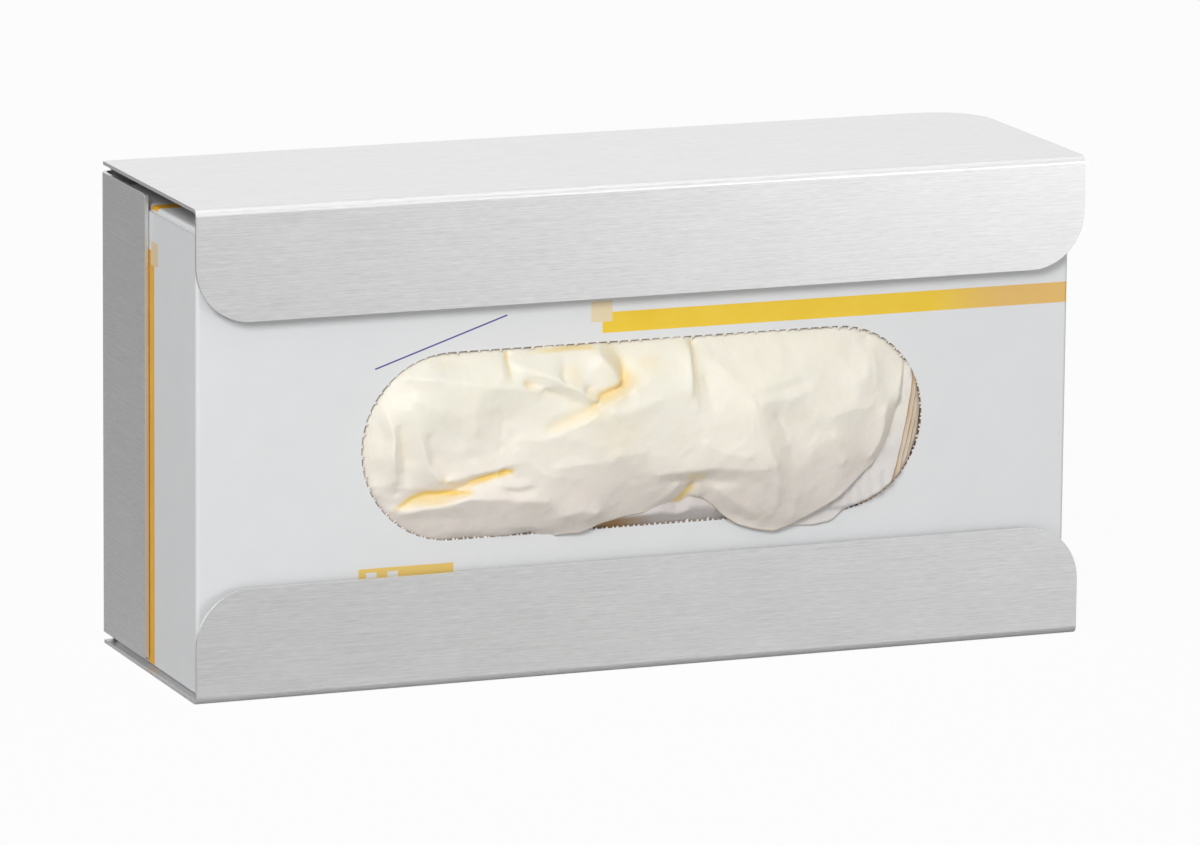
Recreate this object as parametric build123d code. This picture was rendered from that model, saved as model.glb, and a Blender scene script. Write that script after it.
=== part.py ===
"""Disposable glove dispenser for a wall: a holder folded from one steel sheet, and a carton of gloves in it.

Frame: +X to the right along the front, +Y into the wall, +Z up, in millimetres.
The origin is the middle of the holder's wall face, so the holder stands in front of Y = 0.
"""

from build123d import *
from math import exp, hypot, pi
import os

os.makedirs("parts", exist_ok=True)

# ---------------------------------------------------------------- carton of gloves
carton_length = 245.0
carton_height = 122.8
carton_depth = 70.0
board = 0.5  # thickness of the folding board
fold = 1.0  # outside radius of a crease
flap_relief = 1.3  # how far an end flap stays short of the panel's crease
dust_flap = 32.0  # length of the two inner flaps of an end
glue_tab = 14.0  # width of the glued seam inside the back panel

window_length = 158.0
window_height = 50.0
window_shift = 1.6, 0.4  # of the window's middle from the front panel's middle
nib_pitch = 3.0  # the torn perforation leaves one nib of board at each step
nib_width = 1.1
nib_tip = 0.35
nib_height = 0.45

# ---------------------------------------------------------------- holder of folded sheet
sheet = 1.0
bend_inside = 2.0
bend_outside = bend_inside + sheet
cheek_clearance = 0.2  # carton to the inside of the cheek
mouth_setback = 2.8  # the open end stands past the carton
head_room = 5.2
front_room = 2.6
screw_room = 4.0  # for the heads of the wall screws
lip_height = 30.0
lip_corner = 15.0
cheek_depth = 37.5
cheek_corner = 1.2
past = 1.0  # how far a cutting body reaches past what it cuts

# ---------------------------------------------------------------- gloves
glove_edge = 0.8  # a folded glove's edge
glove_step = 0.8  # how much deeper the next glove lies
air = 0.3  # between one glove and the next, and between the gloves and the board
rim_air = 0.8  # between the hanging glove and the board's face
heap_depth = 3.6  # from the board's face to the back of the gloves that show
heap_rise = 9.0  # how far the heap swells out of the window
back_share = 0.8  # of the swell, at the back of the gloves that show
heap_rim = 0.4  # how far it stays behind the board's face along the rim
heap_sections = 17, 9  # of the folded front: sections along it, and points up each
smooth_sections = 9, 7  # of the smooth surfaces behind it
stack_corner = 5.0
droop = 4.4  # how far the top glove hangs below the window's rim

# Of the heap, as shares of the window's half length and half height.
swell_middle = 0.28, -0.15
swell_spread = 0.85
rim_roll = 0.5  # where the heap starts to turn in towards the rim
hang_span = 0.16, 0.84  # the top glove comes over the lower rim between these
hang_blend = 0.1
hang_start = 0.2  # below the middle
hang_swell = 0.27  # of the heap's rise, where the hanging part leaves the window

# Folds of the heap: the two ends as shares of the window's half length and half height, the reach across
# the fold as a share of the half height, and its height as a share of the heap's rise; below 0 is a valley.
folds = {
    "long ridge": ((0.03, 0.66), (-0.46, 0.03), 0.16, 0.24),
    "valley above the long ridge": ((-0.10, 0.62), (-0.33, 0.24), 0.11, -0.29),
    "left shoulder": ((-0.83, 0.74), (-0.36, 0.55), 0.14, 0.13),
    "ridge into the valley": ((-0.36, 0.70), (-0.18, 0.37), 0.10, 0.14),
    "fold from the top rim": ((-0.18, 0.94), (-0.10, 0.58), 0.09, 0.13),
    "left end fold": ((-0.90, 0.50), (-0.87, -0.28), 0.10, 0.13),
    "left end second fold": ((-0.79, 0.14), (-0.74, -0.30), 0.10, 0.10),
    "edge over the slit": ((-0.70, -0.33), (-0.42, -0.16), 0.10, 0.13),
    "slit between the gloves": ((-0.80, -0.46), (-0.50, -0.32), 0.08, -0.20),
    "lower left roll": ((-0.76, -0.68), (-0.36, -0.60), 0.18, 0.17),
    "upper crease": ((0.155, 0.95), (0.155, 0.30), 0.08, -0.18),
    "cross crease": ((0.37, 0.38), (0.56, 0.48), 0.08, -0.14),
    "right ridge": ((0.36, 0.22), (0.47, -0.80), 0.16, 0.20),
    "notch over the rim": ((0.14, -0.50), (0.09, -0.80), 0.10, -0.24),
    "shelf above the notch": ((0.04, -0.34), (0.36, -0.42), 0.14, 0.13),
    "right end crease": ((0.87, 0.08), (0.82, -0.47), 0.10, -0.14),
}

holder_width = sheet + cheek_clearance + carton_length + mouth_setback
holder_height = 2 * sheet + carton_height + head_room
holder_depth = 2 * sheet + front_room + carton_depth + screw_room

screw_hole = 5.0
screw_span_x = 180.0
screw_span_z = 80.0

# ---------------------------------------------------------------- places that pieces share
left = -holder_width / 2
right = holder_width / 2
base = -holder_height / 2
top = holder_height / 2
front = -holder_depth

carton_left = left + sheet + cheek_clearance
carton_right = carton_left + carton_length
carton_base = base + sheet
carton_top = carton_base + carton_height
carton_front = front + sheet + front_room
carton_back = carton_front + carton_depth
carton_middle = (carton_left + carton_right) / 2, (carton_base + carton_top) / 2
window_middle = carton_middle[0] + window_shift[0], carton_middle[1] + window_shift[1]


def box_between(low, high):
    """A box from its lowest to its highest corner."""
    size = [h - l for l, h in zip(low, high)]
    return Pos(*low) * Box(*size, align=(Align.MIN, Align.MIN, Align.MIN))


# ---------------------------------------------------------------- holder
def ring_section(depth, height, wall, outside):
    """The Y-Z section of a folded tube: a rounded outline with an even wall."""
    outline = RectangleRounded(depth, height, outside)
    return outline - RectangleRounded(depth - 2 * wall, height - 2 * wall, outside - wall)


def make_holder():
    """One folded sheet: wall plate, top, base, two front lips, and a cheek that stops the carton."""
    section = Plane.YZ.offset(left) * Pos(front / 2, 0) * ring_section(
        holder_depth, holder_height, sheet, bend_outside
    )
    wrap = extrude(section, holder_width)
    hand_gap = box_between(
        (left - past, front - past, base + lip_height),
        (right + past, front + bend_outside, top - lip_height),
    )
    wrap -= hand_gap

    # The wall plate starts after the cheek's bend and stops a corner radius short of the open end.
    for low, high in ((left - past, left + bend_outside), (right - lip_corner, right + past)):
        wrap -= box_between((low, -bend_outside, base - past), (high, past, top + past))

    lip_ends = [
        e
        for e in wrap.edges().filter_by(Axis.Y)
        if abs(abs(e.center().Z) - (top - lip_height)) < 0.01
    ]
    wrap = fillet(lip_ends, lip_corner)
    # In plan, the top and the base are rounded at the open end, down to the bend.
    corner = Pos(right, -bend_outside) * Rectangle(lip_corner, lip_corner, align=(Align.MAX, Align.MAX))
    corner -= Pos(right - lip_corner, -bend_outside - lip_corner) * Circle(lip_corner)
    wrap -= extrude(Plane.XY * corner, holder_height, both=True)

    wrap += make_cheek()
    holes = Sketch() + GridLocations(screw_span_x, screw_span_z, 2, 2) * Circle(screw_hole / 2)
    wrap -= extrude(Plane.XZ * holes, 2 * sheet, both=True)
    return wrap


def make_cheek():
    """The side plate, bent forward from the wall plate, with a relief gap to the top and to the base."""
    outline = Rectangle(2 * bend_outside, cheek_depth, align=(Align.MIN, Align.MAX))
    outline = Pos(left, 0) * outline
    outline = fillet(outline.vertices().group_by(Axis.Y)[-1].sort_by(Axis.X)[0], bend_outside)
    inside = Pos(left + sheet, -sheet) * Rectangle(
        2 * bend_outside, cheek_depth, align=(Align.MIN, Align.MAX)
    )
    inside = fillet(inside.vertices().group_by(Axis.Y)[-1].sort_by(Axis.X)[0], bend_inside)
    beyond = Pos(left + bend_outside, 0) * Rectangle(
        4 * bend_outside, 2 * cheek_depth, align=(Align.MIN, Align.CENTER)
    )
    height = holder_height - 2 * bend_outside
    cheek = extrude(Plane.XY.offset(base + bend_outside) * (outline - inside - beyond), height)
    front_corners = [
        e
        for e in cheek.edges().filter_by(Axis.X)
        if abs(e.center().Y + cheek_depth) < 0.01
    ]
    return fillet(front_corners, cheek_corner)


# ---------------------------------------------------------------- carton
def folded_corner(panel_leg, flap_leg):
    """An L of board with its outside corner at the origin: the panel runs along +X, the flap along +Y."""
    outer = Rectangle(panel_leg, flap_leg, align=(Align.MIN, Align.MIN))
    outer = fillet(outer.vertices().sort_by(lambda v: v.X + v.Y)[0], fold)
    inner = Pos(board, board) * Rectangle(panel_leg, flap_leg, align=(Align.MIN, Align.MIN))
    inner = fillet(inner.vertices().sort_by(lambda v: v.X + v.Y)[0], fold - board)
    return outer - inner


def end_flaps():
    """The left end's glued flaps: two dust flaps, the back panel's flap, and outside it the front panel's."""
    overlap = 3 * board + 2 * fold  # how far each L reaches back along its own panel
    tall = carton_height - 2 * flap_relief
    deep = carton_depth - 2 * flap_relief

    outer = extrude(folded_corner(overlap, carton_depth - flap_relief), tall)
    outer = Pos(carton_left, carton_front, carton_base + flap_relief) * outer

    inner = extrude(folded_corner(overlap - board, carton_depth - flap_relief - board), tall)
    inner = Pos(carton_left + board, carton_back, carton_top - flap_relief) * Rot(180, 0, 0) * inner

    dust = extrude(folded_corner(overlap - 2 * board, dust_flap), deep)
    lower = Pos(carton_left + 2 * board, carton_back - flap_relief, carton_base) * Rot(90, 0, 0) * dust
    upper = Pos(carton_left + 2 * board, carton_front + flap_relief, carton_top) * Rot(-90, 0, 0) * dust
    return outer + inner + lower + upper


def window_outline(inset=0.0):
    """The carton's window: straight sides and round ends, drawn smaller by the inset."""
    return SlotOverall(window_length - 2 * inset, window_height - 2 * inset)


def window_nibs():
    """Nibs of board around the window's rim, pointing inward, at the perforation's pitch."""
    radius = window_height / 2
    straight = window_length - window_height
    root, tip = nib_width / 2, nib_tip / 2
    corners = (-root, -nib_height), (root, -nib_height), (tip, nib_height), (-tip, nib_height)
    nib = Polygon(*corners, align=None)
    nibs = []
    per_side = int(straight / nib_pitch)
    for i in range(per_side):
        x = (i + 0.5 - per_side / 2) * straight / per_side
        nibs.append(Pos(x, -radius) * nib)
        nibs.append(Pos(x, radius) * Rot(0, 0, 180) * nib)
    per_end = int(pi * radius / nib_pitch)
    for i in range(per_end):
        turn = 180 * (i + 0.5) / per_end
        nibs.append(Pos(straight / 2, 0) * Rot(0, 0, turn) * Pos(0, -radius) * nib)
        nibs.append(Pos(-straight / 2, 0) * Rot(0, 0, 180 + turn) * Pos(0, -radius) * nib)
    return nibs


def make_carton():
    """A carton folded and glued from one blank, with a torn-open window in its front panel."""
    overlap = 2 * board + fold
    section = Plane.YZ.offset(carton_left + overlap) * Pos(
        (carton_front + carton_back) / 2, carton_middle[1]
    ) * ring_section(carton_depth, carton_height, board, fold)
    tube = extrude(section, carton_length - 2 * overlap)

    near_end = end_flaps()
    far_end = Pos(carton_middle[0], 0, 0) * mirror(Pos(-carton_middle[0], 0, 0) * near_end, Plane.YZ)
    tab = box_between(
        (carton_left + overlap, carton_back - 2 * board, carton_base + board),
        (carton_right - overlap, carton_back - board, carton_base + glue_tab),
    )
    outline = window_outline() - window_nibs()
    cut = extrude(Plane.XZ.offset(-carton_front) * Pos(*window_middle) * outline, board, both=True)
    return tube + near_end + far_end + tab - cut


# ---------------------------------------------------------------- gloves
half_length = window_length / 2
half_height = window_height / 2


def rim_distance(x, z):
    """How far inside the window's rim a point lies; x and z start at the window's middle."""
    beyond = max(abs(x) - (half_length - half_height), 0)
    return half_height - hypot(beyond, z)


def fade(value):
    """A soft step from 0 to 1."""
    value = min(max(value, 0), 1)
    return value * value * (3 - 2 * value)


def fold_height(x, z):
    """The sum of the heap's folds at a point."""
    total = 0
    for (a, b, reach, height) in folds.values():
        ax, az = a[0] * half_length, a[1] * half_height
        bx, bz = b[0] * half_length, b[1] * half_height
        run = (bx - ax) ** 2 + (bz - az) ** 2
        along = ((x - ax) * (bx - ax) + (z - az) * (bz - az)) / run
        along = min(max(along, 0), 1)
        gap = hypot(x - ax - along * (bx - ax), z - az - along * (bz - az))
        total += height * heap_rise * exp(-((gap / (reach * half_height)) ** 2))
    return total


def hang_over(x, z, tucked, clear):
    """The height with the hanging part lifted over the rim, so that it is clear of the board's face."""
    across, up = x / half_length, z / half_height
    hanging = fade((across - hang_span[0]) / hang_blend) * fade((hang_span[1] - across) / hang_blend)
    hanging *= fade((-up - hang_start) / rim_roll)
    return tucked + hanging * max(clear - tucked, 0)


def heap_swell(x, z):
    """How far the heap swells out of the window, without its folds."""
    across = (x / half_length - swell_middle[0]) / swell_spread
    up = z / half_height - swell_middle[1]
    return heap_rise * exp(-across * across - up * up) * fade(rim_distance(x, z) / (rim_roll * half_height))


def heap_front(x, z):
    """How far the folded front of the heap stands out of the board's face."""
    folded = fold_height(x, z) * fade(rim_distance(x, z) / (rim_roll * half_height))
    below = -z - half_height
    over_rim = glove_edge + rim_air + hang_swell * heap_rise * fade(1 - below / (rim_roll * half_height))
    return hang_over(x, z, heap_swell(x, z) + folded - heap_rim, over_rim)


def heap_back(x, z):
    """How far the smooth back of the shown gloves stands out of the board's face."""
    return hang_over(x, z, back_share * heap_swell(x, z) - heap_depth, rim_air)


def heap_low(x, z):
    """How far the lower glove stands out of the board's face where it shows."""
    return back_share * heap_swell(x, z) - heap_rim - 2 * glove_step


def heap_block(rise, sections, deeper=0.0):
    """A block with a wavy front: its rise out of the board's face is given at each point of the window."""
    columns, rows = sections
    reach_x, reach_z = half_length + past, half_height + 2 * droop
    back = carton_front + 2 * heap_rise
    outlines = []
    for i in range(columns):
        x = reach_x * (2 * i / (columns - 1) - 1)
        points = []
        for j in range(rows):
            z = reach_z * (2 * j / (rows - 1) - 1)
            points.append((carton_front + deeper - rise(x, z), window_middle[1] + z))
        low, high = (back, points[0][1]), (back, points[-1][1])
        rim = Spline(*points) + Line(points[-1], high) + Line(high, low) + Line(low, points[0])
        outlines.append(Plane.YZ.offset(window_middle[0] + x) * make_face(rim))
    return loft(outlines, ruled=True)


def window_prism(outline):
    """A prism through the window, in front of the panel and behind it."""
    return extrude(Plane.XZ.offset(-carton_front) * Pos(*window_middle) * outline, 4 * heap_rise, both=True)


def in_window(shares, grow=0.0):
    """A smooth closed outline, counter-clockwise, through shares of the window's half length and height."""
    corners = [Vector(x * half_length, z * half_height) for x, z in shares]
    points = []
    for before, here, after in zip(corners[-1:] + corners[:-1], corners, corners[1:] + corners[:1]):
        outward = (before - after).normalized().rotate(Axis.Z, 90)
        points.append(here + outward * grow)
    return make_face(Spline(*points, periodic=True))


def make_stack():
    """The gloves still packed in the carton, as one cushion."""
    front_gap = board + heap_depth + glove_edge + 3 * air
    cushion = Box(
        carton_length - 2 * (3 * board + air),
        carton_depth - front_gap - 2 * board - air,
        carton_height - 2 * (3 * board + air),
        align=(Align.CENTER, Align.MAX, Align.CENTER),
    )
    cushion = chamfer(cushion.edges(), stack_corner)
    return Pos(carton_middle[0], carton_back - 2 * board - air, carton_middle[1]) * cushion


def make_gloves():
    """The four gloves that show in the window, the top one first."""
    rim = window_outline(nib_height + air)
    rim_gap = Pos(0.49 * half_length, -half_height) * Rectangle(0.54 * half_length, half_height)
    top = [
        (-0.7, -1.2), (-0.27, -1.05), (-0.13, -0.90), (0.0, -0.85), (0.10, -0.76), (0.20, -0.70),
        (0.29, -0.91), (0.39, -1.12), (0.47, -1.0 - droop / half_height), (0.54, -1.10), (0.64, -0.94),
        (0.72, -0.74),
        (0.79, -0.48), (0.88, 0.10), (0.93, 0.55), (0.7, 1.2), (0.20, 1.1), (0.05, 0.74), (-0.16, 0.36),
        (-0.42, 0.0), (-0.50, -0.20), (-0.62, -0.46), (-0.84, -0.64),
    ]
    left_side = [
        (-1.1, -0.36), (-0.83, -0.41), (-0.70, -0.46), (-0.52, -0.34), (-0.36, -0.10), (-0.05, 0.50),
        (0.12, 1.1), (-0.6, 1.3),
    ]
    right_side = [(0.86, 0.9), (0.84, 0.2), (0.80, -0.6), (1.1, -0.7), (1.2, 0.3)]
    lower = [
        (-1.0, -0.20), (-0.4, -0.20), (0.3, -0.30), (0.80, -0.20), (0.90, -0.50), (0.6, -1.2), (-0.6, -1.3),
    ]
    lower_prism = window_prism(in_window(lower) & rim)
    shapes = {
        "top_glove": (0, in_window(top) & (rim + rim_gap)),
        "left_glove": (1, (in_window(left_side) & rim) - in_window(top, air)),
        "right_glove": (1, (in_window(right_side) & rim) - in_window(top, air)),
    }
    behind = heap_block(heap_back, smooth_sections)
    gloves = {}
    for name, (level, shape) in shapes.items():
        front = heap_block(heap_front, heap_sections, level * glove_step)
        gloves[name] = (front & window_prism(shape)) - behind

    # The lower glove runs on under the others, and stands further out where it shows.
    under = heap_block(heap_back, smooth_sections, air) & lower_prism
    shown = heap_block(heap_low, smooth_sections) & lower_prism
    for outline in (top, left_side, right_side):
        shown -= window_prism(in_window(outline, air))
    gloves["lower_glove"] = (under + shown) - heap_block(heap_back, smooth_sections, air + glove_edge)
    gloves["glove_stack"] = make_stack()
    return gloves


pieces = {"holder": make_holder(), "glove_carton": make_carton(), **make_gloves()}
for name, piece in pieces.items():
    piece.label = name
    export_step(piece, f"parts/{name}.step")
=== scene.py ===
import math
import bmesh
import bpy
import numpy as np
from mathutils import Matrix, Vector


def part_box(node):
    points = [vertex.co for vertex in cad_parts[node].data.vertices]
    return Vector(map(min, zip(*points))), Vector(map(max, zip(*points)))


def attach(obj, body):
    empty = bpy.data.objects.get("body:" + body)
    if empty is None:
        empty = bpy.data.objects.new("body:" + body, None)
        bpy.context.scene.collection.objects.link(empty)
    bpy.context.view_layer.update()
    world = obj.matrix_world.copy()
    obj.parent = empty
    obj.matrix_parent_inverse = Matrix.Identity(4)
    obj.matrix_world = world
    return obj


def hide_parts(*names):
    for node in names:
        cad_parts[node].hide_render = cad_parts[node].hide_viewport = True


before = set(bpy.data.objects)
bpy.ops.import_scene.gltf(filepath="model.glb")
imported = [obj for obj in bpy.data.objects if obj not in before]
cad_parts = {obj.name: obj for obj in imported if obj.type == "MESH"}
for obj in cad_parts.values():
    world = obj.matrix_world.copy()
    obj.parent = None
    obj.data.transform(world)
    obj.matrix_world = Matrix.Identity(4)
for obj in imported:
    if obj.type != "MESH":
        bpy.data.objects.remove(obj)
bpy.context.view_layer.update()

mm = 0.001
print("frame loaded")


class Wire:
    # one shader socket that can be used in a sum
    def __init__(self, paint, socket):
        self.paint = paint
        self.socket = socket

    def math(self, operation, other):
        return self.paint.node("ShaderNodeMath", {"operation": operation}, [self, other])[0]

    def __add__(self, other): return self.math("ADD", other)
    def __radd__(self, other): return self.math("ADD", other)
    def __mul__(self, other): return self.math("MULTIPLY", other)
    def __sub__(self, other): return self.math("SUBTRACT", other)
    def __rsub__(self, other): return (self * -1.0).math("ADD", other)


class Paint:
    # a material and its nodes
    def __init__(self, name):
        self.material = bpy.data.materials.new(name)
        self.material.use_nodes = True
        self.tree = self.material.node_tree
        self.shader = self.tree.nodes["Principled BSDF"]
        self.output = self.tree.nodes["Material Output"]

    def node(self, kind, settings=None, values=(), ramp=None):
        n = self.tree.nodes.new(kind)
        for key, value in (settings or {}).items():
            setattr(n, key, value)
        if ramp:
            stops = n.color_ramp.elements
            while len(stops) < len(ramp):
                stops.new(1.0)
            for stop, (at, colour) in zip(stops, ramp):
                stop.position = at
                stop.color = (*colour, 1.0) if len(colour) == 3 else colour
        pairs = values.items() if isinstance(values, dict) else enumerate(values)
        for key, value in pairs:
            if isinstance(value, Wire):
                self.tree.links.new(value.socket, n.inputs[key])
            elif value is not None:
                n.inputs[key].default_value = value
        return [Wire(self, o) for o in n.outputs]

    def set(self, **values):
        for key, value in values.items():
            socket = self.shader.inputs[key.replace("_", " ")]
            if isinstance(value, Wire):
                self.tree.links.new(value.socket, socket)
            else:
                socket.default_value = (*value, 1.0) if socket.type == "RGBA" and len(value) == 3 else value

    def place(self, scale):
        # a point's place on the object, times a scale
        coords = self.node("ShaderNodeTexCoord")
        names = [o.name for o in self.tree.nodes[-1].outputs]
        values = {"Vector": coords[names.index("Object")], "Scale": scale}
        return self.node("ShaderNodeMapping", None, values)[0]

    def axes(self, vector):
        return self.node("ShaderNodeSeparateXYZ", None, [vector])

    def noise(self, vector, scale, detail=3.0, rough=0.5, distort=0.0):
        values = {"Vector": vector, "Scale": scale, "Detail": detail, "Roughness": rough,
                  "Distortion": distort}
        return self.node("ShaderNodeTexNoise", None, values)[0]

    def ramp(self, factor, stops):
        return self.node("ShaderNodeValToRGB", None, [factor], stops)[0]

    def mix(self, factor, a, b):
        n = self.tree.nodes.new("ShaderNodeMix")
        n.data_type = "RGBA"
        for socket, value in ((n.inputs[0], factor), (n.inputs[6], a), (n.inputs[7], b)):
            if isinstance(value, Wire):
                self.tree.links.new(value.socket, socket)
            else:
                socket.default_value = (*value, 1.0) if isinstance(value, tuple) else value
        return Wire(self, n.outputs[2])

    def bump(self, height, distance, strength):
        values = {"Height": height, "Distance": distance, "Strength": strength}
        return self.node("ShaderNodeBump", None, values)[0]

    def between(self, value, low, high, soft):
        # 1 between low and high, with soft edges
        rise = self.node("ShaderNodeMapRange", {"interpolation_type": "SMOOTHSTEP"},
                         {"Value": value, "From Min": low - soft, "From Max": low + soft})[0]
        fall = self.node("ShaderNodeMapRange", {"interpolation_type": "SMOOTHSTEP"},
                         {"Value": value, "From Min": high - soft, "From Max": high + soft})[0]
        return rise * (1.0 - fall)


def srgb(r, g, b):
    # a screen colour, 0 to 255, as linear light
    return tuple((c / 255 / 12.92) if c <= 10 else ((c / 255 + 0.055) / 1.055) ** 2.4 for c in (r, g, b))


def newObject(name, verts, faces, material=None, smooth=True):
    mesh = bpy.data.meshes.new(name)
    mesh.from_pydata([tuple(v) for v in verts], [], [tuple(f) for f in faces])
    mesh.validate()
    mesh.update()
    obj = bpy.data.objects.new(name, mesh)
    bpy.context.scene.collection.objects.link(obj)
    if material:
        mesh.materials.append(material)
    mesh.shade_smooth() if smooth else mesh.shade_flat()
    return obj


def weld(obj):
    near, thin = 1e-5, 1e-6
    bm = bmesh.new()
    bm.from_mesh(obj.data)
    bmesh.ops.remove_doubles(bm, verts=bm.verts, dist=near)
    bmesh.ops.dissolve_degenerate(bm, edges=bm.edges, dist=thin)
    bmesh.ops.recalc_face_normals(bm, faces=bm.faces)
    bm.to_mesh(obj.data)
    bm.free()


def settle(obj):
    # the modifiers' result becomes the plain mesh
    depsgraph = bpy.context.evaluated_depsgraph_get()
    mesh = bpy.data.meshes.new_from_object(obj.evaluated_get(depsgraph))
    obj.modifiers.clear()
    obj.data = mesh
    return obj


camera = {
    "place": (-0.83105, -2.14393, 0.46583),
    "yaw": 0.377,
    "pitch": 0.2058,
    "roll": 0.009,
    "lens": 260.88,
}


def makeCamera():
    yaw, pitch, roll = camera["yaw"], camera["pitch"], camera["roll"]
    ahead = Vector((math.sin(yaw) * math.cos(pitch), math.cos(yaw) * math.cos(pitch), -math.sin(pitch)))
    across = Vector((math.cos(yaw), -math.sin(yaw), 0))
    above = across.cross(ahead)
    xAxis = math.cos(roll) * across + math.sin(roll) * above
    yAxis = -math.sin(roll) * across + math.cos(roll) * above
    data = bpy.data.cameras.new("camera")
    data.lens = camera["lens"]
    data.sensor_width = 36
    data.clip_start = 0.05
    obj = bpy.data.objects.new("camera", data)
    bpy.context.scene.collection.objects.link(obj)
    turn = Matrix((xAxis, yAxis, -ahead)).transposed().to_4x4()
    obj.matrix_world = Matrix.Translation(camera["place"]) @ turn
    bpy.context.scene.camera = obj


studio = {
    "worldStrength": 0.5,
    "floorLevel": -0.0652,
    "floorReach": 40,
    "floorGrey": 0.48,
    "floorWhite": 0.96,     # how much of the floor that the camera sees is plain white
    "aim": (0, -0.04, 0),
}

# each light's place and size in metres, and its power in watts
lights = {
    "key": ((-1.0, -1.4, 0.95), (0.6, 0.6), 22.5),
    "fill": ((0.7, -1.15, 0.06), (0.4, 0.2), 1.6),
    "above": ((0.45, -0.35, 1.5), (1.2, 0.8), 1.0),
}


def areaLight(name, place, size, watts):
    data = bpy.data.lights.new(name, "AREA")
    data.shape = "RECTANGLE"
    data.size, data.size_y = size
    data.energy = watts
    obj = bpy.data.objects.new(name, data)
    bpy.context.scene.collection.objects.link(obj)
    direction = Vector(studio["aim"]) - Vector(place)
    obj.rotation_euler = direction.to_track_quat("-Z", "Y").to_euler()
    obj.location = place


def seenDirectly(tree):
    # 1 for camera, glossy and transmission rays
    path = tree.nodes.new("ShaderNodeLightPath")
    total = path.outputs["Is Camera Ray"]
    for name in ("Is Glossy Ray", "Is Transmission Ray"):
        larger = tree.nodes.new("ShaderNodeMath")
        larger.operation = "MAXIMUM"
        tree.links.new(total, larger.inputs[0])
        tree.links.new(path.outputs[name], larger.inputs[1])
        total = larger.outputs[0]
    return total


def makeStudio():
    world = bpy.data.worlds.new("studio")
    bpy.context.scene.world = world
    world.use_nodes = True
    tree = world.node_tree
    light = tree.nodes["Background"]
    light.inputs["Color"].default_value = (1, 1, 1, 1)
    light.inputs["Strength"].default_value = studio["worldStrength"]
    backdrop = tree.nodes.new("ShaderNodeBackground")
    backdrop.inputs["Color"].default_value = (1, 1, 1, 1)
    backdrop.inputs["Strength"].default_value = 1.0
    mix = tree.nodes.new("ShaderNodeMixShader")
    tree.links.new(seenDirectly(tree), mix.inputs[0])
    tree.links.new(light.outputs[0], mix.inputs[1])
    tree.links.new(backdrop.outputs[0], mix.inputs[2])
    tree.links.new(mix.outputs[0], tree.nodes["World Output"].inputs[0])
    for name, (place, size, watts) in lights.items():
        areaLight(name, place, size, watts)

    z, far, grey = studio["floorLevel"], studio["floorReach"], studio["floorGrey"]
    corners = [(-far, -far, z), (far, -far, z), (far, far, z), (-far, far, z)]
    floor = newObject("floor", corners, [(0, 1, 2, 3)])
    paint = Paint("floorPaper")
    paint.set(Base_Color=(grey, grey, grey), Roughness=0.95, Specular_IOR_Level=0.0)
    white = paint.tree.nodes.new("ShaderNodeEmission")
    white.inputs["Color"].default_value = (1, 1, 1, 1)
    path = paint.node("ShaderNodeLightPath")
    names = [o.name for o in paint.tree.nodes[-1].outputs]
    share = path[names.index("Is Camera Ray")] * studio["floorWhite"]
    mix = paint.tree.nodes.new("ShaderNodeMixShader")
    paint.tree.links.new(share.socket, mix.inputs[0])
    paint.tree.links.new(paint.shader.outputs[0], mix.inputs[1])
    paint.tree.links.new(white.outputs[0], mix.inputs[2])
    paint.tree.links.new(mix.outputs[0], paint.output.inputs[0])
    floor.data.materials.append(paint.material)


makeCamera()
makeStudio()
bpy.context.scene.view_settings.view_transform = "Standard"
print("camera and studio made")


holderSizes = {
    "sheet": 1.0,
    "bend": 3.0,                      # outside radius of the wall plate's bends
    "lipBend": 2.0,                   # and of the lips' bends
    "bendSteps": 14,
    "lipHeight": 30.0,
    "lipCorner": 15.0,
    "endCorner": 15.0,
    "cheekDepth": 37.5,
    "cheekCorner": 1.2,
    "screwHole": 5.0,
    "screwSpan": (180.0, 80.0),
    "drillReach": 4.0,
    "drillSides": 40,
    "edgeBreak": 0.14,
    "cornerSteps": 16,
    "cheekCornerSteps": 6,
}


def cutEdgeAndShadePaint():
    # the sheet's cut edge: duller than its face, and painted near black for the shade in the gap along the
    # lips' edges
    paint = Paint("cutEdge")
    grain = paint.noise(paint.place((1800, 1800, 1800)), 1.0, 2.0, 0.5)
    colour = paint.ramp(grain, [(0.3, (0.05, 0.05, 0.052)), (0.7, (0.12, 0.12, 0.122))])
    paint.set(Metallic=1.0, Base_Color=colour, Roughness=0.5 + grain * 0.2)
    return paint.material


def steelPaint():
    paint = Paint("brushedSteel")
    coords = paint.node("ShaderNodeUVMap", {"uv_map": "blank"})[0]

    def scratches(length, width, detail, rough):
        # noise drawn out along the blank: length and width of a scratch, in mm
        values = {"Vector": coords, "Scale": (1000 / length, 1000 / width, 1)}
        return paint.noise(paint.node("ShaderNodeMapping", None, values)[0], 1.0, detail, rough)

    fine = scratches(4.0, 0.24, 2.0, 0.6)
    streak = scratches(22, 0.4, 1.0, 0.5)
    cloud = paint.noise(paint.place((9, 9, 9)), 1.0, 2.0, 0.5)
    grain = fine * 0.62 + streak * 0.38
    stops = [(0.30, (0.66, 0.66, 0.665)), (0.50, (0.755, 0.755, 0.757)), (0.70, (0.83, 0.83, 0.83))]
    colour = paint.ramp(grain, stops)
    paint.set(Metallic=1.0, Base_Color=colour, Roughness=0.29 + grain * 0.14 + cloud * 0.05,
              Normal=paint.bump(grain, 0.00001, 0.8))
    return paint.material


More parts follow.
